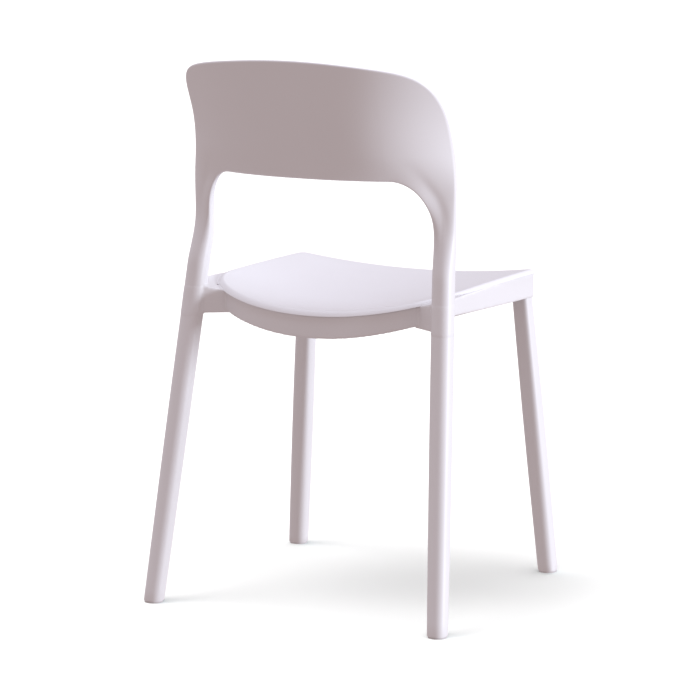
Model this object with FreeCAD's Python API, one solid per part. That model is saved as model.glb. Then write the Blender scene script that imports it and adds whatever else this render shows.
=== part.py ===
import FreeCAD, Part
import math
import os

# A moulded stacking chair, in millimetres.
# +Z is up and the sitter faces -Y. The origin is on the floor, at the middle of the overall size.
# The +X side is called left, as the sitter sees it. Each part is made on that side and mirrored.

V = FreeCAD.Vector
UP = V(0, 0, 1)
SIDES = {"left": 1, "right": -1}
PAST = 1  # how far a cutting shape reaches past the face that it opens

# Legs: straight tapered tubes that splay outwards and away from the seat.
REAR_FOOT = V(223, 206, 0)
REAR_LEG_RISE = V(-0.066, -0.172, 1)
FRONT_FOOT = V(207, -211, 0)
FRONT_LEG_RISE = V(-0.0777, 0.0728, 1)
FOOT_RADIUS = 14.5
REAR_LEG_RADIUS = 16
REAR_THICKEST_Z = 340
FRONT_LEG_SWELL = 1.2
FRONT_LEG_RINGS = 7
LEG_END_Z = 2
LEG_BORE_RADIUS = 9
LEG_BORE_TOP_Z = 370

# Backrest: a thin sheet that leans back and wraps forwards at its sides.
BACK_TOP_Z = 782
BACK_HALF_WIDTH = 199
BACK_LOW_SPREAD = 5
BACK_SPREAD_Z = 700
BACK_SPREAD_FADE = 100
BACK_SIDE_Z = 474
BACK_CORNER_POWER = 11.2
BACK_TOP_ARCH = 11
BACK_ARCH_REACH = 150
BACK_TOP_Y = 221.7
BACK_LEAN = 0.266
WRAP_EVERYWHERE = 47.6
WRAP_AT_WAIST = 30.8
WAIST_Z = 684
WAIST_FADE_UP = 73
WAIST_FADE_DOWN = 94
WRAP_REACH = 200
WRAP_POWER = 3.4
LOW_WRAP_POWER = 1.85
LOW_WRAP_Z = 653
LOW_WRAP_FADE = 60
SHELL_THICKNESS = 6

# Opening under the backrest: a level edge with a large elliptical corner into each leg.
OPENING_TOP_Z = 616
OPENING_HALF_WIDTH = 175
CORNER_WIDTH = 51
CORNER_HEIGHT = 76
CORNER_X = OPENING_HALF_WIDTH - CORNER_WIDTH
CORNER_Z = OPENING_TOP_Z - CORNER_HEIGHT
CORNER_TURNS = (82, 76, 71, 66, 60, 52, 42, 28, 14, 0)
RIM_WIDTH = 11
RIM_HEIGHT = 2
RIM_DEPTH = 11

# Where the sheet of the backrest turns into round legs.
NECK_TOP_Z = 600
NECK_BOTTOM_Z = 480
NECK_SECTIONS = (515, 492)
LEG_SECTIONS = (470, 430, 385, REAR_THICKEST_Z, 260, 180, 90, LEG_END_Z)

# Seat: a saddle, level along its sides and hollow across its width.
SEAT_SIDE_Z = 458
SEAT_DISH = 22.5
SEAT_DISH_SLOPE = 0.0395
SEAT_DROOP = 4.5
SEAT_HALF_WIDTH = 195
SEAT_REAR = 160
SEAT_REAR_SPLIT = 20
SEAT_REAR_POWER = 2.45
SEAT_FRONT = 204
SEAT_FRONT_BULGE = 5
SEAT_CORNER = 19
TIGHTEST_CORNER = 6
PAN_THICKNESS = 5.5
CLEARANCE = 0.3
PRISM_BOTTOM_Z = 300
PRISM_TOP_Z = SEAT_SIDE_Z + 20
SADDLE_GRID = range(-300, 301, 100)
SADDLE_DEPTH = 200

# Seat frame: a channel that follows the seat's outline, open underneath.
FRAME_SIDE_Z = 422
FRAME_SIDE_SLOPE = 0.05
FRAME_DISH = 30
FRAME_DISH_SLOPE = 0.0625
FRAME_INSET = 3
FRAME_WIDTH = 26
FRAME_WALL = 4
RIB_THICKNESS = 2.5
RIB_WIDTH = FRAME_WIDTH - 3
RIB_X = 179
RIB_BOTTOM_Z = 380
RIB_PLACES = (-125, -75, 10, 85)
RAIL_OUTLINE = ((148, 116), (179, 135), (195, 140), (203, 128), (192, -130), (172, -130), (172, 70))
STUB_OUTLINE = ((146, 117), (148, 116), (179, 135), (190, 138), (184, 112), (160, 92), (140, 106))
STUB_BOTTOM_Z = 409
REAR_LEG_ROOM = (380, 480)
FRONT_JOINT_Z = 412
FRONT_LEG_GAP = 1
FRONT_SOCKET_DEPTH = 40
FRONT_POST_HEIGHT = 60
SPIGOT_RADIUS = 9.5
SPIGOT_HEIGHT = 20

# Fasteners and the inserts that they hold.
BOLT_RADIUS = 3
HEAD_RADIUS = 5
HEAD_HEIGHT = 4
SOCKET_RADIUS = 2.2
SOCKET_DEPTH = 2.5
WASHER_RADIUS = 6.5
WASHER_THICKNESS = 1.2
INSERT_RADIUS = 4.5
INSERT_LENGTH = 12
INSERT_START = 3
RECESS_LENGTH = 30
REAR_BOLT_HEIGHTS = (422, 438)
REAR_BOLT_DIRECTION = V(0.6, 0.8, 0)
REAR_BOLT_GRIP = 14
FRONT_BOLT_GRIP = 7
SCREW_RADIUS = 2
SCREW_HEAD_RADIUS = 4
SCREW_HEAD_HEIGHT = 2.4
SCREW_LENGTH = 15
SEAT_SCREWS = ((150, -95), (150, 30), (-150, -95), (-150, 30), (0, 117), (0, -161))
TAB_SIZE = 28
TAB_THICKNESS = 5
TAB_SHIFT = 6
BOSS_RADIUS = 5.5
BOSS_HEIGHT = 11

# Glides under the feet, and pads under the frame's front that meet the chair stacked below.
GLIDE_RADIUS = 13
STEM_LENGTH = 20
PAD_PLACE = (125, -185)
PAD_RADIUS = 8
PAD_THICKNESS = 3
PAD_STEM_RADIUS = 3
PAD_STEM_LENGTH = 8
PAD_SEAT_DROP = 3.5
PAD_BLOCK_HEIGHT = 20


# ---------------------------------------------------------------- shared helpers

def mirrored(point, side):
    return V(point.x * side, point.y, point.z)


def smooth_step(value):
    """A smooth ramp from 0 to 1 as value goes from 0 to 1."""
    value = min(1, max(0, value))
    return value * value * (3 - 2 * value)


def rod(start, direction, length, radius):
    return Part.makeCylinder(radius, length, start, direction)


def box(centre, size_x, size_y, bottom, top):
    """An upright block with its middle above a place in plan."""
    corner = V(centre[0] - size_x / 2, centre[1] - size_y / 2, bottom)
    return Part.makeBox(size_x, size_y, top - bottom, corner)


def fused(shapes):
    first, *others = shapes
    return first.fuse(others).removeSplitter()


# ---------------------------------------------------------------- legs

def rear_leg_radius(z):
    """A rear leg thickens gently from its foot to just under the seat."""
    return FOOT_RADIUS + (REAR_LEG_RADIUS - FOOT_RADIUS) * math.sin(min(1, z / REAR_THICKEST_Z) * math.pi / 2)


def front_leg_radius(z):
    """A front leg is thickest halfway up."""
    return FOOT_RADIUS + FRONT_LEG_SWELL * math.sin(min(1, z / FRONT_JOINT_Z) * math.pi)


def leg_tube(foot, rise, side, heights, radius_at):
    """A round bar along a leg's line, with a radius worked out at each height."""
    rings = []
    for z in heights:
        centre = mirrored(foot + rise * z, side)
        rings.append(Part.Wire(Part.makeCircle(radius_at(z), centre, UP)))
    return Part.makeLoft(rings, True)


def leg_bore(foot, rise, side):
    """The hollow inside a leg, open at the foot."""
    return leg_tube(foot, rise, side, (0, LEG_BORE_TOP_Z), lambda z: LEG_BORE_RADIUS)


def front_top(side):
    """The middle of a front leg's upper end, where it meets the seat frame."""
    return mirrored(FRONT_FOOT + FRONT_LEG_RISE * FRONT_JOINT_Z, side)


def front_leg(side):
    """A tapered tube with a spigot that plugs up into the seat frame."""
    step = (FRONT_JOINT_Z - LEG_END_Z) / (FRONT_LEG_RINGS - 1)
    heights = [LEG_END_Z + step * n for n in range(FRONT_LEG_RINGS)]
    leg = leg_tube(FRONT_FOOT, FRONT_LEG_RISE, side, heights, front_leg_radius)
    leg = leg.fuse(rod(front_top(side), UP, SPIGOT_HEIGHT, SPIGOT_RADIUS)).removeSplitter()
    leg = leg.cut(leg_bore(FRONT_FOOT, FRONT_LEG_RISE, side))
    insert_top = front_top(side) + UP * SPIGOT_HEIGHT
    return leg.cut(rod(insert_top, UP * -1, INSERT_LENGTH, INSERT_RADIUS))


def foot_glide(foot, rise, side):
    """A low disc on the floor, with a stem that plugs into the leg."""
    disc = rod(mirrored(foot, side), UP, LEG_END_Z, GLIDE_RADIUS)
    stem_radius = LEG_BORE_RADIUS - CLEARANCE
    stem = leg_tube(foot, rise, side, (0, STEM_LENGTH), lambda z: stem_radius)
    return disc.fuse(stem)


# ---------------------------------------------------------------- back frame

def sheet_y(x, z):
    """The middle of the backrest sheet, at a place in the front view."""
    centre = BACK_TOP_Y + BACK_LEAN * (z - BACK_TOP_Z)
    fade = WAIST_FADE_UP if z > WAIST_Z else WAIST_FADE_DOWN
    wrap = WRAP_EVERYWHERE + WRAP_AT_WAIST * math.exp(-((z - WAIST_Z) / fade) ** 2)
    low = smooth_step((LOW_WRAP_Z - z) / LOW_WRAP_FADE)
    power = WRAP_POWER + (LOW_WRAP_POWER - WRAP_POWER) * low
    return centre - wrap * abs(x / WRAP_REACH) ** power


def beyond_back(x, z):
    """True above or beside the backrest's outline in the front view."""
    height = BACK_TOP_Z - BACK_SIDE_Z - BACK_TOP_ARCH * (x / BACK_ARCH_REACH) ** 2
    half_width = BACK_HALF_WIDTH + BACK_LOW_SPREAD * smooth_step((BACK_SPREAD_Z - z) / BACK_SPREAD_FADE)
    power = BACK_CORNER_POWER
    return abs(x / half_width) ** power + max(0, (z - BACK_SIDE_Z) / height) ** power > 1


def sheet_reach(x, z, dx, dz):
    """How far the backrest runs from the opening's edge, in one direction of the front view."""
    near, far = 0, 2 * BACK_HALF_WIDTH
    for _ in range(40):
        middle = (near + far) / 2
        if beyond_back(x + middle * dx, z + middle * dz):
            far = middle
        else:
            near = middle
    return near


# Each section has this many points on its rear face and as many on its front face.
FACE_POINTS = 14


def spread(length, first_step):
    """Places from 0 to length that start and end close together and grow apart between."""
    steps = FACE_POINTS // 2
    low, high = 1.0001, 6
    for _ in range(40):
        growth = (low + high) / 2
        if (growth - 1) / (growth ** steps - 1) * length / 2 > first_step:
            low = growth
        else:
            high = growth
    half = [length / 2 * (growth ** n - 1) / (growth ** steps - 1) for n in range(steps + 1)]
    return half + [length - place for place in half[-2::-1]]


def sheet_section(x, z, dx, dz, rim_rear, rim_front):
    """A section through the sheet, thicker at the rim of the opening and round at both ends."""
    length = sheet_reach(x, z, dx, dz)
    end = SHELL_THICKNESS / 2
    rear, front = [], []
    for place in spread(length, end * 0.3):
        px, pz = x + place * dx, z + place * dz
        inward = max(0, 1 - min(place, length - place) / end)
        roundness = math.sqrt(1 - inward ** 2)
        rim = math.exp(-(place / RIM_WIDTH) ** 2)
        middle = sheet_y(px, pz)
        rear.append(V(px, middle + (end + rim * rim_rear) * roundness, pz))
        front.append(V(px, middle - (end + rim * rim_front) * roundness, pz))
    return rear + front[-2:0:-1]


def round_section(z):
    """A rear leg's round section, from its inner side by way of the rear."""
    centre = REAR_FOOT + REAR_LEG_RISE * z
    radius = rear_leg_radius(z)
    angles = [math.pi * n / FACE_POINTS for n in range(2 * FACE_POINTS)]
    return [centre + V(-math.cos(angle), math.sin(angle), 0) * radius for angle in angles]


def necked(section, z):
    """A sheet section that has turned into a leg's round section as far as its height asks."""
    share = smooth_step((NECK_TOP_Z - z) / (NECK_TOP_Z - NECK_BOTTOM_Z))
    return [a * (1 - share) + b * share for a, b in zip(section, round_section(z))]


def half_sections():
    """Sections of the back frame from the middle of the backrest, round the opening, to one foot."""
    sections = [sheet_section(CORNER_X * share, OPENING_TOP_Z, 0, 1, 0, 0) for share in (0, 0.35, 0.7, 1)]
    for degrees in CORNER_TURNS:
        turn = math.radians(degrees)
        dx, dz = math.cos(turn), math.sin(turn)
        x, z = CORNER_X + CORNER_WIDTH * dx, CORNER_Z + CORNER_HEIGHT * dz
        growth = 1 - degrees / 90
        sheet = sheet_section(x, z, dx, dz, RIM_HEIGHT * smooth_step(growth), RIM_DEPTH * growth)
        sections.append(necked(sheet, z))
    for z in NECK_SECTIONS:
        sections.append(necked(sheet_section(OPENING_HALF_WIDTH, z, 1, 0, RIM_HEIGHT, RIM_DEPTH), z))
    return sections + [round_section(z) for z in LEG_SECTIONS]


def smooth_curve(points, closed):
    """The poles of a cubic curve that passes through points with even knots."""
    curve = Part.BSplineCurve()
    last = len(points) if closed else len(points) - 1
    knots = [float(n) for n in range(last + 1)]
    curve.interpolate(Points=points, Parameters=knots, PeriodicFlag=closed)
    return curve


def skin(sections):
    """A solid with a smooth surface through closed sections, and a flat face at each end."""
    rings = [smooth_curve(section, True) for section in sections]
    lines = [smooth_curve(list(poles), False) for poles in zip(*(ring.getPoles() for ring in rings))]
    surface = Part.BSplineSurface()
    surface.buildFromPolesMultsKnots(
        [line.getPoles() for line in lines],
        rings[0].getMultiplicities(), lines[0].getMultiplicities(),
        rings[0].getKnots(), lines[0].getKnots(),
        True, False, rings[0].Degree, lines[0].Degree)
    side = surface.toShape()
    ends = [Part.Face(Part.Wire(edge)) for edge in side.Edges if not edge.isSeam(side)]
    shell = Part.makeShell([side] + ends)
    shell.sewShape()
    return Part.makeSolid(shell)


def rear_bolt_axis(side, z):
    """Where a rear bolt enters the leg, and its direction into the leg."""
    direction = mirrored(REAR_BOLT_DIRECTION, side)
    centre = mirrored(REAR_FOOT + REAR_LEG_RISE * z, side)
    return centre - direction * REAR_LEG_RADIUS, direction


def back_frame():
    half = half_sections()
    other = [[mirrored(point, -1) for point in section] for section in half[:0:-1]]
    body = skin(other + half)
    for side in SIDES.values():
        body = body.cut(leg_bore(REAR_FOOT, REAR_LEG_RISE, side))
        for z in REAR_BOLT_HEIGHTS:
            place, direction = rear_bolt_axis(side, z)
            depth = PAST + INSERT_START + INSERT_LENGTH
            body = body.cut(rod(place - direction * PAST, direction, depth, INSERT_RADIUS))
    return body


# ---------------------------------------------------------------- seat

def rear_outline(inset):
    """The rounded rear of the seat in plan, from its left side round to its right side."""
    points = []
    for degrees in range(0, 181, 9):
        across, along = math.cos(math.radians(degrees)), math.sin(math.radians(degrees))
        x = math.copysign(abs(across) ** (2 / SEAT_REAR_POWER), across) * (SEAT_HALF_WIDTH - inset)
        y = SEAT_REAR_SPLIT + (SEAT_REAR - SEAT_REAR_SPLIT - inset) * abs(along) ** (2 / SEAT_REAR_POWER)
        points.append(V(x, y, 0))
    curve = Part.BSplineCurve()
    curve.interpolate(Points=points, InitialTangent=V(0, 1, 0), FinalTangent=V(0, -1, 0))
    return curve.toShape()


def front_corner(inset, side):
    """The ends and the middle of the arc round one front corner of the seat in plan."""
    radius = max(SEAT_CORNER - inset, TIGHTEST_CORNER)
    centre_x = SEAT_HALF_WIDTH - inset - radius
    centre_y = inset + radius + SEAT_FRONT_BULGE - SEAT_FRONT
    turns = [math.radians(degrees) for degrees in (0, -45, -90)]
    return [V((centre_x + radius * math.cos(t)) * side, centre_y + radius * math.sin(t), 0) for t in turns]


def seat_prism(inset):
    """A tall block with the seat's outline: a rounded rear, straight sides and a bowed front."""
    left, right = front_corner(inset, 1), front_corner(inset, -1)
    rear = rear_outline(inset)
    edges = [
        rear,
        Part.makeLine(rear.Vertexes[-1].Point, right[0]),
        Part.Arc(*right).toShape(),
        Part.Arc(right[-1], V(0, inset - SEAT_FRONT, 0), left[-1]).toShape(),
        Part.Arc(*left[::-1]).toShape(),
        Part.makeLine(left[0], rear.Vertexes[0].Point)]
    face = Part.Face(Part.Wire(edges))
    face.translate(UP * PRISM_BOTTOM_Z)
    return face.extrude(UP * (PRISM_TOP_Z - PRISM_BOTTOM_Z))


def saddle(height, drop):
    """A block under a smooth surface, given its height above each place in plan."""
    surface = Part.BSplineSurface()
    surface.interpolate([[V(x, y, height(x, y)) for y in SADDLE_GRID] for x in SADDLE_GRID])
    return surface.toShape().extrude(UP * -drop)


def seat_z(x, y):
    """The height of the seat's upper surface: hollow across, and drooping towards the front."""
    droop = SEAT_DROOP * ((SEAT_REAR - y) / (SEAT_REAR + SEAT_FRONT)) ** 3
    return SEAT_SIDE_Z - droop - (SEAT_DISH + SEAT_DISH_SLOPE * y) * (1 - (x / SEAT_HALF_WIDTH) ** 2)


def seat_saddle(below, drop):
    return saddle(lambda x, y: seat_z(x, y) - below, drop)


def frame_z(x, y):
    """The height of the seat frame's lower edge."""
    dish = (FRAME_DISH + FRAME_DISH_SLOPE * y) * (1 - (x / SEAT_HALF_WIDTH) ** 2)
    return FRAME_SIDE_Z + FRAME_SIDE_SLOPE * y - dish


def boss_bottom(place):
    return seat_z(*place) - PAN_THICKNESS - BOSS_HEIGHT


def seat_pan():
    pan = seat_prism(0).common(seat_saddle(0, PAN_THICKNESS))
    for place in SEAT_SCREWS:
        foot = V(place[0], place[1], boss_bottom(place))
        height = BOSS_HEIGHT + PAN_THICKNESS / 2
        pan = pan.fuse(rod(foot, UP, height, BOSS_RADIUS))
        pan = pan.cut(rod(foot, UP, SCREW_LENGTH - TAB_THICKNESS, SCREW_RADIUS))
    return pan


# ---------------------------------------------------------------- seat frame

def frame_block():
    """All the room that the seat frame can take up: below the pan and above its own lower edge."""
    return room_under_pan().cut(saddle(frame_z, SADDLE_DEPTH))


def room_under_pan():
    return seat_saddle(PAN_THICKNESS + CLEARANCE, SADDLE_DEPTH)


def upright(outline, side, bottom):
    """An upright block with a many-sided outline in plan."""
    points = [mirrored(V(x, y, bottom), side) for x, y in outline]
    face = Part.Face(Part.makePolygon(points + points[:1]))
    return face.extrude(UP * (PRISM_TOP_Z - bottom))


def channel():
    """The ring round the seat, with an outer wall, an inner wall and a roof."""
    ring = seat_prism(FRAME_INSET).cut(seat_prism(FRAME_INSET + FRAME_WIDTH))
    hollow = seat_prism(FRAME_INSET + FRAME_WALL).cut(seat_prism(FRAME_INSET + FRAME_WIDTH - FRAME_WALL))
    below_roof = seat_saddle(PAN_THICKNESS + FRAME_WALL, SADDLE_DEPTH)
    return ring.cut(hollow.common(below_roof))


def tab(place):
    """A shelf inside the ring that carries one of the pan's bosses."""
    top = boss_bottom(place)
    if place[0]:
        centre = (place[0] + math.copysign(TAB_SHIFT, place[0]), place[1])
    else:
        centre = (place[0], place[1] + math.copysign(TAB_SHIFT, place[1]))
    return box(centre, TAB_SIZE, TAB_SIZE, top - TAB_THICKNESS, top)


def pad_z():
    """The level at which the stacking pads meet the frame, just under its lower edge."""
    return frame_z(*PAD_PLACE) - PAD_SEAT_DROP


def pad_place(side):
    return V(PAD_PLACE[0] * side, PAD_PLACE[1], pad_z())


def seat_frame():
    room = frame_block()
    pieces = [channel().common(room)]
    for side in SIDES.values():
        pieces.append(upright(RAIL_OUTLINE, side, PRISM_BOTTOM_Z).common(room))
        pieces.append(upright(STUB_OUTLINE, side, STUB_BOTTOM_Z).common(room_under_pan()))
        pieces.append(rod(front_top(side), UP, FRONT_POST_HEIGHT, FOOT_RADIUS).common(room))
        for y in RIB_PLACES:
            rib = box((RIB_X * side, y), RIB_WIDTH, RIB_THICKNESS, RIB_BOTTOM_Z, PRISM_TOP_Z)
            pieces.append(rib.common(room))
        pieces.append(box(pad_place(side), 2 * PAD_RADIUS, RIB_WIDTH, pad_z(), pad_z() + PAD_BLOCK_HEIGHT))
    pieces += [tab(place) for place in SEAT_SCREWS]
    body = fused(pieces)
    for side in SIDES.values():
        body = body.cut(leg_clearances(side))
        body = body.cut(bolt_clearances(side))
        body = body.cut(rod(pad_place(side), UP, PAD_STEM_LENGTH, PAD_STEM_RADIUS))
    for place in SEAT_SCREWS:
        hole_bottom = V(place[0], place[1], boss_bottom(place) - TAB_THICKNESS - PAST)
        body = body.cut(rod(hole_bottom, UP, TAB_THICKNESS + 2 * PAST, SCREW_RADIUS + CLEARANCE))
    return body


def leg_clearances(side):
    """The room that both legs on one side need in the seat frame."""
    rear = leg_tube(REAR_FOOT, REAR_LEG_RISE, side, REAR_LEG_ROOM, lambda z: REAR_LEG_RADIUS + CLEARANCE)
    heights = (FRONT_JOINT_Z - FRONT_SOCKET_DEPTH, FRONT_JOINT_Z)
    front = leg_tube(FRONT_FOOT, FRONT_LEG_RISE, side, heights, lambda z: FOOT_RADIUS + FRONT_LEG_GAP)
    socket = rod(front_top(side), UP, SPIGOT_HEIGHT, SPIGOT_RADIUS + CLEARANCE)
    return rear.fuse([front, socket])


def front_bolt_seat(side):
    """The level where a front bolt's washer lies, above the leg's spigot."""
    return front_top(side) + UP * (SPIGOT_HEIGHT + FRONT_BOLT_GRIP)


def rear_bolt_seat(side, z):
    """The place where a rear bolt's washer lies, in front of the leg."""
    place, direction = rear_bolt_axis(side, z)
    return place - direction * REAR_BOLT_GRIP, direction


def bolt_clearances(side):
    """Holes for the bolts' shanks, with flat-bottomed recesses for their washers and heads."""
    cuts = []
    seats = [rear_bolt_seat(side, z) for z in REAR_BOLT_HEIGHTS] + [(front_bolt_seat(side), UP * -1)]
    for seat, direction in seats:
        cuts.append(rod(seat, direction, REAR_BOLT_GRIP + PAST, BOLT_RADIUS + CLEARANCE))
        cuts.append(rod(seat, direction * -1, RECESS_LENGTH, WASHER_RADIUS + CLEARANCE))
    return cuts[0].fuse(cuts[1:])


# ---------------------------------------------------------------- fasteners and pads

def washer(seat, direction):
    ring = rod(seat, direction * -1, WASHER_THICKNESS, WASHER_RADIUS)
    hole_length = WASHER_THICKNESS + 2 * PAST
    return ring.cut(rod(seat + direction * PAST, direction * -1, hole_length, BOLT_RADIUS + CLEARANCE))


def bolt(seat, direction, length):
    """A socket-head bolt, on top of its washer."""
    under_head = seat - direction * WASHER_THICKNESS
    head = rod(under_head, direction * -1, HEAD_HEIGHT, HEAD_RADIUS)
    shank = rod(under_head, direction, length, BOLT_RADIUS)
    socket = rod(under_head - direction * HEAD_HEIGHT, direction, SOCKET_DEPTH, SOCKET_RADIUS)
    return head.fuse(shank).removeSplitter().cut(socket)


def insert(mouth, direction):
    """A brass sleeve that holds a bolt's thread."""
    sleeve = rod(mouth, direction, INSERT_LENGTH, INSERT_RADIUS)
    return sleeve.cut(rod(mouth, direction, INSERT_LENGTH, BOLT_RADIUS))


def rear_joints():
    return [rear_bolt_seat(side, z) for side in SIDES.values() for z in REAR_BOLT_HEIGHTS]


def front_joints():
    return [(front_bolt_seat(side), UP * -1) for side in SIDES.values()]


def rear_leg_bolts():
    length = REAR_BOLT_GRIP + INSERT_START + INSERT_LENGTH
    return [bolt(seat, direction, length) for seat, direction in rear_joints()]


def rear_leg_inserts():
    gap = REAR_BOLT_GRIP + INSERT_START
    return [insert(seat + direction * gap, direction) for seat, direction in rear_joints()]


def front_leg_bolts():
    length = FRONT_BOLT_GRIP + INSERT_LENGTH
    return [bolt(seat, direction, length) for seat, direction in front_joints()]


def front_leg_inserts():
    return [insert(seat + direction * FRONT_BOLT_GRIP, direction) for seat, direction in front_joints()]


def seat_screw(place):
    """A round-head screw, up through the frame's tab into the pan's boss."""
    under = V(place[0], place[1], boss_bottom(place) - TAB_THICKNESS)
    head = rod(under, UP * -1, SCREW_HEAD_HEIGHT, SCREW_HEAD_RADIUS)
    screw = head.fuse(rod(under, UP, SCREW_LENGTH, SCREW_RADIUS)).removeSplitter()
    recess = rod(under - UP * SCREW_HEAD_HEIGHT, UP, SCREW_HEAD_HEIGHT / 2, SCREW_RADIUS / 2)
    return screw.cut(recess)


def stacking_pad(side):
    """A soft disc under the frame's front, with a stem that plugs up into it."""
    top = pad_place(side)
    disc = rod(top, UP * -1, PAD_THICKNESS, PAD_RADIUS)
    return disc.fuse(rod(top, UP, PAD_STEM_LENGTH, PAD_STEM_RADIUS)).removeSplitter()


def save(name, solids):
    shape = solids[0] if len(solids) == 1 else Part.makeCompound(solids)
    shape.exportStep("parts/" + name + ".step")


os.makedirs("parts", exist_ok=True)
save("back_frame", [back_frame()])
save("seat_frame", [seat_frame()])
save("seat_pan", [seat_pan()])
for name, side in SIDES.items():
    save("front_leg_" + name, [front_leg(side)])
    save("foot_glide_front_" + name, [foot_glide(FRONT_FOOT, FRONT_LEG_RISE, side)])
    save("foot_glide_rear_" + name, [foot_glide(REAR_FOOT, REAR_LEG_RISE, side)])
    save("stacking_pad_" + name, [stacking_pad(side)])
save("rear_leg_bolts", rear_leg_bolts())
save("rear_leg_washers", [washer(*joint) for joint in rear_joints()])
save("rear_leg_inserts", rear_leg_inserts())
save("front_leg_bolts", front_leg_bolts())
save("front_leg_washers", [washer(*joint) for joint in front_joints()])
save("front_leg_inserts", front_leg_inserts())
save("seat_screws", [seat_screw(place) for place in SEAT_SCREWS])
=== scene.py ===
import math

import bpy
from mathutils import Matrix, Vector


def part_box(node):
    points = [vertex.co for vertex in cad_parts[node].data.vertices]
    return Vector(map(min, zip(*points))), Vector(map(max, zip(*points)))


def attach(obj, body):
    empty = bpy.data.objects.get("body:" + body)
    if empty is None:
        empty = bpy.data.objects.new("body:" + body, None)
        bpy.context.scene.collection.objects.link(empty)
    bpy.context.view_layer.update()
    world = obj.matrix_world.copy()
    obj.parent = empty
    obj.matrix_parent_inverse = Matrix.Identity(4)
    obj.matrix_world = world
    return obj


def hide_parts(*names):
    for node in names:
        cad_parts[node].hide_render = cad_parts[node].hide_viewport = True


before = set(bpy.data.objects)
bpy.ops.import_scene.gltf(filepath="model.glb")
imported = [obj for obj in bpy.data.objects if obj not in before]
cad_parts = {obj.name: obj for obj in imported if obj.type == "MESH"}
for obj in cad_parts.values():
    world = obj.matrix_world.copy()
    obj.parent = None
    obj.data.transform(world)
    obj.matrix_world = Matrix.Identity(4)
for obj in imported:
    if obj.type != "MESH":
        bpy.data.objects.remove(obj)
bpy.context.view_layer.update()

# Metres, in the CAD's frame: the sitter faces -Y, and the camera stands behind the chair, to its right.
MM = 0.001

back_low, back_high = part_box("back_frame")
pan_low, pan_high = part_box("seat_pan")

# Backrest: its outline in the front view.
BACK_TOP_Z = back_high[2]
BACK_HALF_WIDTH = 199 * MM
BACK_LOW_SPREAD = 5 * MM
BACK_SPREAD_Z = 700 * MM
BACK_SPREAD_FADE = 100 * MM
BACK_SIDE_Z = 474 * MM
BACK_CORNER_POWER = 11.2
BACK_TOP_ARCH = 11 * MM
BACK_ARCH_REACH = 150 * MM

# Backrest: its lean, how far its sides wrap forwards, and its wall.
BACK_TOP_Y = 221.7 * MM
BACK_LEAN = 0.266
WRAP_EVERYWHERE = 47.6 * MM
WRAP_AT_WAIST = 30.8 * MM
WAIST_Z = 684 * MM
WAIST_FADE_UP = 73 * MM
WAIST_FADE_DOWN = 94 * MM
WRAP_REACH = 200 * MM
WRAP_POWER = 3.4
LOW_WRAP_POWER = 1.85
LOW_WRAP_Z = 653 * MM
LOW_WRAP_FADE = 60 * MM
SHELL_THICKNESS = 6 * MM

# Opening under the backrest: its corners, and the lip and the valley that run along its edge.
OPENING_TOP_Z = 616 * MM
OPENING_HALF_WIDTH = 175 * MM
CORNER_WIDTH = 51 * MM
CORNER_HEIGHT = 76 * MM
CORNER_X = OPENING_HALF_WIDTH - CORNER_WIDTH
CORNER_Z = OPENING_TOP_Z - CORNER_HEIGHT
RIM_WIDTH = 11 * MM
RIM_HEIGHT = 2.6 * MM
RIM_DEPTH = 11 * MM
LIP_GROWTH = 1.8
VALLEY_PLACE = 17 * MM
VALLEY_DRIFT = 16 * MM
VALLEY_WIDTH = 7 * MM
VALLEY_SPREAD = 6 * MM
VALLEY_DEPTH = 1.3 * MM

# Neck, where the sheet turns into a leg.
NECK_TOP_Z = 600 * MM
NECK_HEIGHT = 120 * MM

# Legs.
REAR_FOOT = Vector((223, 206, 0)) * MM
REAR_LEG_RISE = Vector((-0.066, -0.172, 1))
FOOT_RADIUS = 14.5 * MM
REAR_LEG_RADIUS = 16 * MM
REAR_THICKEST_Z = 340 * MM
REAR_LEG_SQUARENESS = 2.5
LEG_END_Z = back_low[2]
FRONT_FOOT = Vector((207, -211, 0)) * MM
FRONT_LEG_RISE = Vector((-0.0777, 0.0728, 1))
FRONT_LEG_SWELL = 1.2 * MM
FRONT_JOINT_Z = 412 * MM
FRONT_POST_HEIGHT = 16 * MM
FRONT_LEG_TOP_Z = FRONT_JOINT_Z + FRONT_POST_HEIGHT
FRONT_FOOT_SQUARENESS = 2.6
FRONT_TOP_SQUARENESS = 4
VIEW_TURN = math.radians(27)

# Rounded end of a rear leg: each ring's height above the end, and how far in it lies.
REAR_END_RINGS = ((1.2 * MM, 0), (0.4 * MM, 0.3 * MM), (0, 1.2 * MM))
REAR_END_ROOM = 3 * MM

# Rounded end of a front leg: its height, and the width of its flat part.
FRONT_END_HEIGHT = 1.2 * MM
FRONT_END_WIDTH = 0.93

# Seat.
SEAT_SIDE_Z = 458 * MM
SEAT_HALF_WIDTH = pan_high[0]
SEAT_REAR = pan_high[1]
SEAT_FRONT = -pan_low[1]
SEAT_DISH = 22.5 * MM
SEAT_DISH_SLOPE = 0.0395
SEAT_DROOP = 4.5 * MM
SEAT_REAR_SPLIT = 20 * MM
SEAT_REAR_POWER = 2.45
SEAT_FRONT_BULGE = 5 * MM
SEAT_CORNER = 19 * MM
PAN_MIDDLE_Y = -20 * MM
PAN_THICKNESS = 5.5 * MM
PAN_ROUNDING = 9 * MM
PAN_LIP = 2.4 * MM
PAN_LIP_DROP = 1.6 * MM
PAN_EDGE_HEIGHT = 0.4 * MM
PAN_EDGE_INSET = 0.3 * MM

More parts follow.
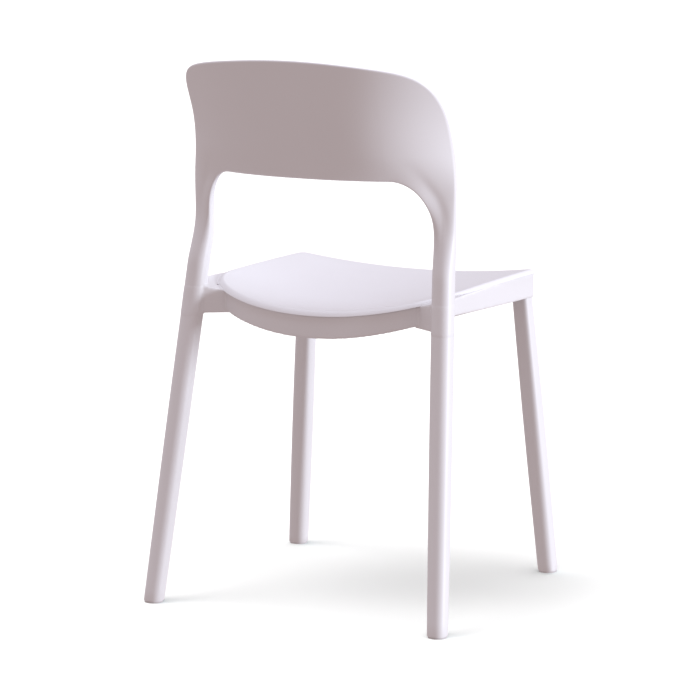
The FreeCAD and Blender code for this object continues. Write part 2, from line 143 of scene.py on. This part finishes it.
# Seat frame: the grid on which its edges are softened, how often, and the sleeves round the rear legs.
FRAME_VOXEL = 1.75 * MM
FRAME_SOFTENING = 3
COLLAR_LOW_Z = 396 * MM
COLLAR_HIGH_Z = 458 * MM
COLLAR_TAPER = 12 * MM
COLLAR_SWELL = 0.4 * MM
COLLAR_SINK = 1.5 * MM

# How finely the skins are divided.
HALVINGS = 40
FACE_POINTS = 52
LEAST_GROWTH = 1.0001
MOST_GROWTH = 6
FIRST_STEP = 0.12
TOP_STEPS = 20
CORNER_STEPS = 90
NECK_STEPS = 20
NECK_STEP = 3.5 * MM
REAR_LEG_STEP = 15 * MM
FRONT_LEG_TURNS = 64
FRONT_LEG_STEPS = 40
SEAT_REAR_STEPS = 60
SEAT_SIDE_STEPS = 24
SEAT_CORNER_STEPS = 16
SEAT_FRONT_STEPS = 30
PAN_TOP_RINGS = 24
PAN_EDGE_RINGS = 14
PAN_UNDER_RINGS = 12

# Angles, in degrees, past which an edge stays sharp.
SHARP_ANGLE = 40
PAN_SHARP_ANGLE = 60


# ---------------------------------------------------------------- meshes

def smooth_step(value):
    """A smooth ramp from 0 to 1 as value goes from 0 to 1."""
    value = min(1, max(0, value))
    return value * value * (3 - 2 * value)


def link_mesh(name, verts, faces, sharp_angle=SHARP_ANGLE):
    """A new object in the scene, shaded smooth up to the sharp angle."""
    mesh = bpy.data.meshes.new(name)
    mesh.from_pydata([tuple(v) for v in verts], [], faces)
    mesh.validate()
    piece = bpy.data.objects.new(name, mesh)
    bpy.context.collection.objects.link(piece)
    mesh.shade_smooth()
    mesh.set_sharp_from_angle(angle=math.radians(sharp_angle))
    return piece


def ring_faces(rings, size):
    """Faces that join rings of this many points, one to the next."""
    faces = []
    for ring in range(rings - 1):
        for n in range(size):
            a = ring * size + n
            b = ring * size + (n + 1) % size
            faces.append((a, b, b + size, a + size))
    return faces


def loft(name, rings):
    """A closed skin over rings of points, with a flat end on the first and the last."""
    size = len(rings[0])
    verts = [point for ring in rings for point in ring]
    faces = ring_faces(len(rings), size)
    faces.append(tuple(range(size))[::-1])
    faces.append(tuple(range(len(verts) - size, len(verts))))
    return link_mesh(name, verts, faces)


def mirrored(ring, side):
    """The ring on the side +1, or its mirror image on the side -1, running the same way round."""
    return [Vector((p.x * side, p.y, p.z)) for p in ring[::side]]


def squared_ring(centre, radius, power, turns):
    """A superellipse that looks as wide as a circle of this radius from the viewer's side."""
    other = power / (power - 1)
    bulge = (math.cos(VIEW_TURN) ** other + math.sin(VIEW_TURN) ** other) ** (1 / other)
    points = []
    for turn in turns:
        across, along = math.cos(turn), math.sin(turn)
        x = math.copysign(abs(across) ** (2 / power), across) * radius / bulge
        y = math.copysign(abs(along) ** (2 / power), along) * radius / bulge
        points.append(centre + Vector((x, y, 0)))
    return points


# ---------------------------------------------------------------- back frame

def sheet_y(x, z):
    """The middle of the backrest sheet, at a place in the front view."""
    centre = BACK_TOP_Y + BACK_LEAN * (z - BACK_TOP_Z)
    fade = WAIST_FADE_UP if z > WAIST_Z else WAIST_FADE_DOWN
    wrap = WRAP_EVERYWHERE + WRAP_AT_WAIST * math.exp(-((z - WAIST_Z) / fade) ** 2)
    low = smooth_step((LOW_WRAP_Z - z) / LOW_WRAP_FADE)
    power = WRAP_POWER + (LOW_WRAP_POWER - WRAP_POWER) * low
    return centre - wrap * abs(x / WRAP_REACH) ** power


def beyond_back(x, z):
    """True above or beside the backrest's outline in the front view."""
    height = BACK_TOP_Z - BACK_SIDE_Z - BACK_TOP_ARCH * (x / BACK_ARCH_REACH) ** 2
    low = smooth_step((BACK_SPREAD_Z - z) / BACK_SPREAD_FADE)
    half_width = BACK_HALF_WIDTH + BACK_LOW_SPREAD * low
    across = abs(x / half_width) ** BACK_CORNER_POWER
    up = max(0, (z - BACK_SIDE_Z) / height) ** BACK_CORNER_POWER
    return across + up > 1


def sheet_reach(x, z, dx, dz):
    """How far the backrest runs from the opening's edge, in one direction of the front view."""
    near, far = 0, 2 * BACK_HALF_WIDTH
    for _ in range(HALVINGS):
        middle = (near + far) / 2
        if beyond_back(x + middle * dx, z + middle * dz):
            far = middle
        else:
            near = middle
    return near


def spread(length, first_step):
    """Places from 0 to length that start and end close together and grow apart between."""
    steps = FACE_POINTS // 2
    low, high = LEAST_GROWTH, MOST_GROWTH
    for _ in range(HALVINGS):
        growth = (low + high) / 2
        if (growth - 1) / (growth ** steps - 1) * length / 2 > first_step:
            low = growth
        else:
            high = growth
    half = [length / 2 * (growth ** n - 1) / (growth ** steps - 1) for n in range(steps + 1)]
    return half + [length - place for place in half[-2::-1]]


def rear_rise(place, lip, drift):
    """How far the rear face stands off the sheet's middle, at this distance from the opening."""
    rim = math.exp(-(place / RIM_WIDTH) ** 2)
    valley_place = VALLEY_PLACE + VALLEY_DRIFT * drift
    valley_width = VALLEY_WIDTH + VALLEY_SPREAD * drift
    valley = math.exp(-((place - valley_place) / valley_width) ** 2)
    return SHELL_THICKNESS / 2 + lip * (rim * RIM_HEIGHT - valley * VALLEY_DEPTH)


def front_rise(place, depth):
    """How far the front face stands off the sheet's middle, at this distance from the opening."""
    return SHELL_THICKNESS / 2 + math.exp(-(place / RIM_WIDTH) ** 2) * depth


def sheet_section(x, z, dx, dz, lip, depth, drift=0):
    """A section through the sheet, round at both ends, from the opening's edge outwards.

    lip is the share of the full lip and valley, depth is how far the rim stands out in front,
    and drift moves the valley away from the edge and widens it.
    """
    length = sheet_reach(x, z, dx, dz)
    end = SHELL_THICKNESS / 2
    rear, front = [], []
    for place in spread(length, end * FIRST_STEP):
        px, pz = x + place * dx, z + place * dz
        inward = max(0, 1 - min(place, length - place) / end)
        roundness = math.sqrt(1 - inward ** 2)
        middle = sheet_y(px, pz)
        rear.append(Vector((px, middle + rear_rise(place, lip, drift) * roundness, pz)))
        front.append(Vector((px, middle - front_rise(place, depth) * roundness, pz)))
    return rear + front[-2:0:-1]


def rear_leg_section(z, inset=0):
    """A rear leg's softly squared section, from its inner side by way of the rear."""
    turns = [math.pi - math.pi * n / FACE_POINTS for n in range(2 * FACE_POINTS)]
    growth = math.sin(min(1, z / REAR_THICKEST_Z) * math.pi / 2)
    radius = FOOT_RADIUS + (REAR_LEG_RADIUS - FOOT_RADIUS) * growth
    return squared_ring(REAR_FOOT + REAR_LEG_RISE * z, radius - inset, REAR_LEG_SQUARENESS, turns)


def neck_section(sheet, z):
    """A section at this height, turning from sheet into leg on the way down."""
    leg_share = smooth_step((NECK_TOP_Z - z) / NECK_HEIGHT)
    return [a.lerp(b, leg_share) for a, b in zip(sheet, rear_leg_section(z))]


def top_sections():
    """Sections along the opening's straight top edge, from the middle of the chair."""
    places = [CORNER_X * step / TOP_STEPS for step in range(TOP_STEPS)]
    return [sheet_section(x, OPENING_TOP_Z, 0, 1, 0, 0) for x in places]


def corner_sections():
    """Sections round the opening's corner, where the lip and the rim grow."""
    sections = []
    for step in range(CORNER_STEPS + 1):
        growth = step / CORNER_STEPS
        turn = math.pi / 2 * (1 - growth)
        dx, dz = math.cos(turn), math.sin(turn)
        x, z = CORNER_X + CORNER_WIDTH * dx, CORNER_Z + CORNER_HEIGHT * dz
        lip = smooth_step(growth * LIP_GROWTH)
        sheet = sheet_section(x, z, dx, dz, lip, RIM_DEPTH * growth, 1 - lip)
        sections.append(neck_section(sheet, z))
    return sections


def side_sections():
    """Sections down the opening's side, to where the sheet has become leg."""
    sections = []
    for step in range(1, NECK_STEPS):
        z = CORNER_Z - NECK_STEP * step
        sheet = sheet_section(OPENING_HALF_WIDTH, z, 1, 0, 1, RIM_DEPTH)
        sections.append(neck_section(sheet, z))
    return sections


def leg_sections():
    """Sections down the rear leg to its rounded end."""
    sections = []
    z = CORNER_Z - NECK_STEP * NECK_STEPS
    while z > LEG_END_Z + REAR_END_ROOM:
        sections.append(rear_leg_section(z))
        z -= REAR_LEG_STEP
    for rise, inset in REAR_END_RINGS:
        sections.append(rear_leg_section(LEG_END_Z + rise, inset))
    return sections


def make_back_frame():
    """The backrest and the rear legs: one skin from foot to foot, round the opening."""
    half = top_sections() + corner_sections() + side_sections() + leg_sections()
    other = [[Vector((-p.x, p.y, p.z)) for p in section] for section in half[:0:-1]]
    piece = loft("back_moulding", other + half)
    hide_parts("back_frame")
    return piece


# ---------------------------------------------------------------- seat pan

def seat_z(x, y):
    """The top of the dished seat, at a place in plan."""
    droop = SEAT_DROOP * ((SEAT_REAR - y) / (SEAT_REAR + SEAT_FRONT)) ** 3
    dish = (SEAT_DISH + SEAT_DISH_SLOPE * y) * (1 - (x / SEAT_HALF_WIDTH) ** 2)
    return SEAT_SIDE_Z - droop - dish


def rear_points(inset):
    """A quarter of a superellipse, from the middle of the rear to the seat's widest place."""
    width = SEAT_HALF_WIDTH - inset
    depth = SEAT_REAR - SEAT_REAR_SPLIT - inset
    points = []
    for step in range(SEAT_REAR_STEPS):
        angle = math.pi / 2 * (1 - step / SEAT_REAR_STEPS)
        x = width * math.cos(angle) ** (2 / SEAT_REAR_POWER)
        y = SEAT_REAR_SPLIT + depth * math.sin(angle) ** (2 / SEAT_REAR_POWER)
        points.append((x, y))
    return points


def half_outline(inset):
    """Half of the seat's outline in plan, from the middle of the rear to the middle of the front."""
    points = rear_points(inset)
    side_x = SEAT_HALF_WIDTH - inset
    radius = SEAT_CORNER - inset
    corner_x = side_x - radius
    corner_y = inset + radius + SEAT_FRONT_BULGE - SEAT_FRONT
    for step in range(SEAT_SIDE_STEPS):
        share = step / SEAT_SIDE_STEPS
        points.append((side_x, SEAT_REAR_SPLIT + (corner_y - SEAT_REAR_SPLIT) * share))
    for step in range(SEAT_CORNER_STEPS):
        turn = math.pi / 2 * step / SEAT_CORNER_STEPS
        points.append((corner_x + radius * math.cos(turn), corner_y - radius * math.sin(turn)))
    for step in range(SEAT_FRONT_STEPS + 1):
        x = corner_x * (1 - step / SEAT_FRONT_STEPS)
        points.append((x, inset - SEAT_FRONT + SEAT_FRONT_BULGE * (x / corner_x) ** 2))
    return points


def pan_ring(inset, drop, share=1):
    """The seat's outline at this depth below its top, drawn in to a share of its size."""
    half = half_outline(inset)
    points = half + [(-x, y) for x, y in half[-2:0:-1]]
    return [(x * share, y * share + PAN_MIDDLE_Y * (1 - share), drop) for x, y in points]


def pan_rings():
    """Rings from the middle of the pan's top, over its rounded edge and lip, to the middle below."""
    depth = PAN_THICKNESS + PAN_LIP_DROP
    rings = [pan_ring(PAN_ROUNDING, 0, n / PAN_TOP_RINGS) for n in range(1, PAN_TOP_RINGS)]
    for n in range(PAN_EDGE_RINGS + 1):
        share = n / PAN_EDGE_RINGS
        rings.append(pan_ring(PAN_ROUNDING * (1 - share), (depth - PAN_EDGE_HEIGHT) * share ** 2))
    rings.append(pan_ring(PAN_EDGE_INSET, depth))
    rings.append(pan_ring(PAN_LIP, depth))
    for n in range(PAN_UNDER_RINGS, 0, -1):
        rings.append(pan_ring(PAN_LIP, PAN_THICKNESS, n / PAN_UNDER_RINGS))
    return rings


def make_seat_pan():
    """The dished panel, closed by a fan of faces in the middle of its top and of its underside."""
    rings = pan_rings()
    size = len(rings[0])
    verts = [(x, y, seat_z(x, y) - drop) for ring in rings for x, y, drop in ring]
    faces = [face[::-1] for face in ring_faces(len(rings), size)]
    top, bottom = len(verts), len(verts) + 1
    for drop in (0, PAN_THICKNESS):
        verts.append((0, PAN_MIDDLE_Y, seat_z(0, PAN_MIDDLE_Y) - drop))
    last = (len(rings) - 1) * size
    for n in range(size):
        after = (n + 1) % size
        faces.append((top, after, n))
        faces.append((bottom, last + n, last + after))
    piece = link_mesh("seat_panel", verts, faces, PAN_SHARP_ANGLE)
    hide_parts("seat_pan")
    return piece


# ---------------------------------------------------------------- front legs and seat frame

def front_leg_section(z):
    """A front leg's section: round at the foot and nearly square where it meets the seat frame."""
    share = z / FRONT_JOINT_Z
    centre = FRONT_FOOT + FRONT_LEG_RISE * z
    power = FRONT_FOOT_SQUARENESS + (FRONT_TOP_SQUARENESS - FRONT_FOOT_SQUARENESS) * smooth_step(share)
    radius = FOOT_RADIUS + FRONT_LEG_SWELL * math.sin(math.pi * min(1, share))
    turns = [2 * math.pi * n / FRONT_LEG_TURNS for n in range(FRONT_LEG_TURNS)]
    return squared_ring(centre, radius, power, turns)


def make_front_leg(name, side):
    """A front leg, from its rounded end above the glide to inside the seat frame."""
    middle = FRONT_FOOT + FRONT_LEG_RISE * LEG_END_Z
    rings = [[middle.lerp(point, FRONT_END_WIDTH) for point in front_leg_section(LEG_END_Z)]]
    for n in range(FRONT_LEG_STEPS + 1):
        z = LEG_END_Z + (FRONT_LEG_TOP_Z - LEG_END_Z) * n / FRONT_LEG_STEPS
        rings.append(front_leg_section(max(z, LEG_END_Z + FRONT_END_HEIGHT)))
    piece = loft("front_post_" + name, [mirrored(ring, side) for ring in rings[::-1]])
    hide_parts("front_leg_" + name)
    return piece


def leg_collar(side):
    """A sleeve round a rear leg that sinks into it at both ends, for the fillets to run on to."""
    rings = [
        rear_leg_section(COLLAR_LOW_Z, COLLAR_SINK),
        rear_leg_section(COLLAR_LOW_Z + COLLAR_TAPER, -COLLAR_SWELL),
        rear_leg_section(COLLAR_HIGH_Z - COLLAR_TAPER, -COLLAR_SWELL),
        rear_leg_section(COLLAR_HIGH_Z, COLLAR_SINK),
    ]
    return loft("collar", [mirrored(ring, side) for ring in rings])


def frame_copy():
    """A copy of the CAD's seat frame, which is then free to be changed."""
    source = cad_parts["seat_frame"]
    core = source.copy()
    core.data = source.data.copy()
    bpy.context.collection.objects.link(core)
    return core


def joined(name, parts):
    """One object with the faces of all the parts, which are then removed."""
    verts, faces = [], []
    for part in parts:
        first = len(verts)
        verts += [part.matrix_world @ v.co for v in part.data.vertices]
        faces += [[first + v for v in polygon.vertices] for polygon in part.data.polygons]
        bpy.data.objects.remove(part)
    return link_mesh(name, verts, faces)


def softened(name, rough):
    """The rough object's surface on a fine grid, with its edges and inner corners rounded."""
    remesh = rough.modifiers.new("remesh", "REMESH")
    remesh.mode = "VOXEL"
    remesh.voxel_size = FRAME_VOXEL
    remesh.use_smooth_shade = True
    soften = rough.modifiers.new("soften", "SMOOTH")
    soften.iterations = FRAME_SOFTENING
    evaluated = rough.evaluated_get(bpy.context.evaluated_depsgraph_get())
    mesh = bpy.data.meshes.new_from_object(evaluated)
    mesh.name = name
    piece = bpy.data.objects.new(name, mesh)
    bpy.context.collection.objects.link(piece)
    bpy.data.objects.remove(rough)
    return piece


def make_seat_frame():
    """The moulded frame with soft edges, and with fillets on to the rear legs."""
    rough = joined("rough_frame", [frame_copy(), leg_collar(1), leg_collar(-1)])
    piece = softened("seat_carrier", rough)
    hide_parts("seat_frame")
    return piece


# ---------------------------------------------------------------- materials

WHITE = (0.80, 0.79, 0.80)
GLIDE_GREY = (0.62, 0.61, 0.61)
PAD_GREY = (0.55, 0.55, 0.54)
ZINC_GREY = (0.62, 0.62, 0.64)
BRASS_YELLOW = (0.70, 0.52, 0.24)

# The places of a Mix node's colour sockets.
MIX_FIRST = 6
MIX_SECOND = 7
MIX_RESULT = 2


def new_material(name, base, roughness):
    """A material of one colour and roughness, for the other functions to vary."""
    material = bpy.data.materials.new(name)
    material.use_nodes = True
    shader = material.node_tree.nodes["Principled BSDF"]
    shader.inputs["Base Color"].default_value = (*base, 1)
    shader.inputs["Roughness"].default_value = roughness
    return material


def wire(material, output, socket):
    """Joins a node's output to one of the shader's sockets."""
    shader = material.node_tree.nodes["Principled BSDF"]
    material.node_tree.links.new(output, shader.inputs[socket])


def noise(material, scale, detail):
    """Noise that stays with the object."""
    nodes, links = material.node_tree.nodes, material.node_tree.links
    texture = nodes.new("ShaderNodeTexNoise")
    texture.inputs["Scale"].default_value = scale
    texture.inputs["Detail"].default_value = detail
    links.new(nodes.new("ShaderNodeTexCoord").outputs["Object"], texture.inputs["Vector"])
    return texture.outputs["Fac"]


def vary_tone(material, cloud, base, darkest, lightest):
    """Clouds the colour between two shares of its brightness."""
    tone = material.node_tree.nodes.new("ShaderNodeMix")
    tone.data_type = "RGBA"
    tone.inputs[MIX_FIRST].default_value = (*[c * darkest for c in base], 1)
    tone.inputs[MIX_SECOND].default_value = (*[min(1, c * lightest) for c in base], 1)
    material.node_tree.links.new(cloud, tone.inputs["Factor"])
    wire(material, tone.outputs[MIX_RESULT], "Base Color")


def vary_roughness(material, cloud, smoothest, roughest):
    """Clouds the roughness between two values."""
    rough = material.node_tree.nodes.new("ShaderNodeMapRange")
    rough.inputs["To Min"].default_value = smoothest
    rough.inputs["To Max"].default_value = roughest
    material.node_tree.links.new(cloud, rough.inputs["Value"])
    wire(material, rough.outputs["Result"], "Roughness")


def add_bump(material, height, strength, depth):
    """Raises the surface where the height is bright."""
    bump = material.node_tree.nodes.new("ShaderNodeBump")
    bump.inputs["Strength"].default_value = strength
    bump.inputs["Distance"].default_value = depth
    material.node_tree.links.new(height, bump.inputs["Height"])
    wire(material, bump.outputs["Normal"], "Normal")


def moulded_plastic(name, base, roughness, grain):
    """Moulded plastic with a fine spark texture, and a slight unevenness of tone and gloss."""
    material = new_material(name, base, roughness)
    cloud = noise(material, scale=9, detail=3)
    vary_tone(material, cloud, base, darkest=0.985, lightest=1.012)
    vary_roughness(material, cloud, smoothest=roughness - 0.05, roughest=roughness + 0.06)
    add_bump(material, noise(material, scale=grain, detail=2), strength=0.12, depth=0.4 * MM)
    return material


def metal(name, base, roughness):
    """Plated or bare metal with a cloudy tone and gloss."""
    material = new_material(name, base, roughness)
    material.node_tree.nodes["Principled BSDF"].inputs["Metallic"].default_value = 1
    cloud = noise(material, scale=60, detail=4)
    vary_tone(material, cloud, base, darkest=0.88, lightest=1.12)
    vary_roughness(material, cloud, smoothest=roughness - 0.06, roughest=roughness + 0.06)
    return material


def rubber(name, base, roughness):
    """Soft rubber with a cloudy, slightly pitted surface."""
    material = new_material(name, base, roughness)
    cloud = noise(material, scale=120, detail=4)
    vary_tone(material, cloud, base, darkest=0.9, lightest=1.1)
    vary_roughness(material, cloud, smoothest=roughness - 0.06, roughest=roughness + 0.06)
    add_bump(material, cloud, strength=0.25, depth=0.3 * MM)
    return material


plastic = moulded_plastic("white_plastic", WHITE, roughness=0.45, grain=900)
MATERIALS = {
    "back_frame": plastic,
    "seat_frame": plastic,
    "seat_pan": plastic,
    "front_leg": plastic,
    "foot_glide": moulded_plastic("glide_plastic", GLIDE_GREY, roughness=0.3, grain=400),
    "stacking_pad": rubber("pad_rubber", PAD_GREY, roughness=0.8),
    "steel": metal("zinc_plated_steel", ZINC_GREY, roughness=0.3),
    "brass": metal("brass", BRASS_YELLOW, roughness=0.35),
}
STEEL_ENDINGS = ("bolts", "washers", "screws")


def slot_of(name):
    """The material slot of a CAD node, from its name."""
    if name.endswith(STEEL_ENDINGS):
        return "steel"
    if name.endswith("inserts"):
        return "brass"
    return next(slot for slot in MATERIALS if name.startswith(slot))


PIECES = [
    (make_back_frame(), "back_frame"),
    (make_seat_pan(), "seat_pan"),
    (make_seat_frame(), "seat_frame"),
    (make_front_leg("left", 1), "front_leg"),
    (make_front_leg("right", -1), "front_leg"),
]
for piece, slot in PIECES:
    piece.data.materials.clear()
    piece.data.materials.append(MATERIALS[slot])
    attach(piece, "root")

for name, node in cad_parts.items():
    material = MATERIALS[slot_of(name)]
    for material_slot in node.material_slots:
        material_slot.material = material
    if not node.material_slots:
        node.data.materials.append(material)


# ---------------------------------------------------------------- floor, camera and lights

FLOOR_HALF_SIZE = 40
FLOOR_TONE = (0.78, 0.93, 0.93)
FLOOR_ROUGHNESS = 0.9

CAMERA_PLACE = (-2.2055, 4.4345, 1.2381)
CAMERA_FORWARD = Vector((0.4405, -0.8802, -0.1768))
SENSOR_WIDTH = 36
LENS = 180.905

KEY_COLOUR = (0.82, 0.89, 1.0)
OVERHEAD_COLOUR = (0.77, 0.85, 1.0)
FILL_COLOUR = (0.78, 0.86, 1.0)
FLOOR_COLOUR = (1.0, 0.84, 0.84)
WORLD_COLOUR = (0.49, 0.41, 0.41)


def make_floor():
    """A wide pale floor that throws no light back on to the chair."""
    half = FLOOR_HALF_SIZE
    mesh = bpy.data.meshes.new("floor")
    corners = [(-half, -half, 0), (half, -half, 0), (half, half, 0), (-half, half, 0)]
    mesh.from_pydata(corners, [], [(0, 1, 2, 3)])
    mesh.materials.append(new_material("floor", FLOOR_TONE, FLOOR_ROUGHNESS))
    floor = bpy.data.objects.new("floor", mesh)
    bpy.context.collection.objects.link(floor)
    floor.visible_diffuse = False
    floor.visible_glossy = False
    return floor


def make_camera():
    data = bpy.data.cameras.new("camera")
    data.sensor_width = SENSOR_WIDTH
    data.lens = LENS
    camera = bpy.data.objects.new("camera", data)
    camera.location = CAMERA_PLACE
    camera.rotation_euler = CAMERA_FORWARD.to_track_quat("-Z", "Y").to_euler()
    bpy.context.collection.objects.link(camera)
    bpy.context.scene.camera = camera


def group(name, members):
    """A collection of the objects that a light shines on."""
    collection = bpy.data.collections.new(name)
    for member in members:
        collection.objects.link(member)
    return collection


def sun_light(name, lit, colour, direction, width, strength):
    """A light with no falloff, coming from a direction, with a disc this many degrees wide."""
    data = bpy.data.lights.new(name, "SUN")
    data.angle = math.radians(width)
    data.energy = strength
    data.color = colour
    light = bpy.data.objects.new(name, data)
    light.rotation_euler = Vector(direction).to_track_quat("Z", "Y").to_euler()
    bpy.context.collection.objects.link(light)
    light.light_linking.receiver_collection = lit


def make_world():
    """An even soft light from all round."""
    world = bpy.data.worlds.new("world")
    bpy.context.scene.world = world
    world.use_nodes = True
    world.node_tree.nodes["Background"].inputs["Color"].default_value = (*WORLD_COLOUR, 1)


floor = make_floor()
make_camera()
chair = group("chair", list(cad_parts.values()) + [piece for piece, slot in PIECES])
ground = group("ground", [floor])
sun_light("key", chair, KEY_COLOUR, direction=(-0.97, -0.13, 0.14), width=16, strength=2.72)
sun_light("overhead", chair, OVERHEAD_COLOUR, direction=(0.05, -0.01, 1), width=46, strength=1.9)
sun_light("fill", chair, FILL_COLOUR, direction=(0.95, 0.15, 0.10), width=40, strength=0.2)
sun_light("floor_wash", ground, FLOOR_COLOUR, direction=(0, 0, 1), width=80, strength=2.9)
sun_light("floor_streak", ground, FLOOR_COLOUR, direction=(0.42, 0.27, 1), width=30, strength=1.05)
make_world()
bpy.context.scene.view_settings.view_transform = "Standard"
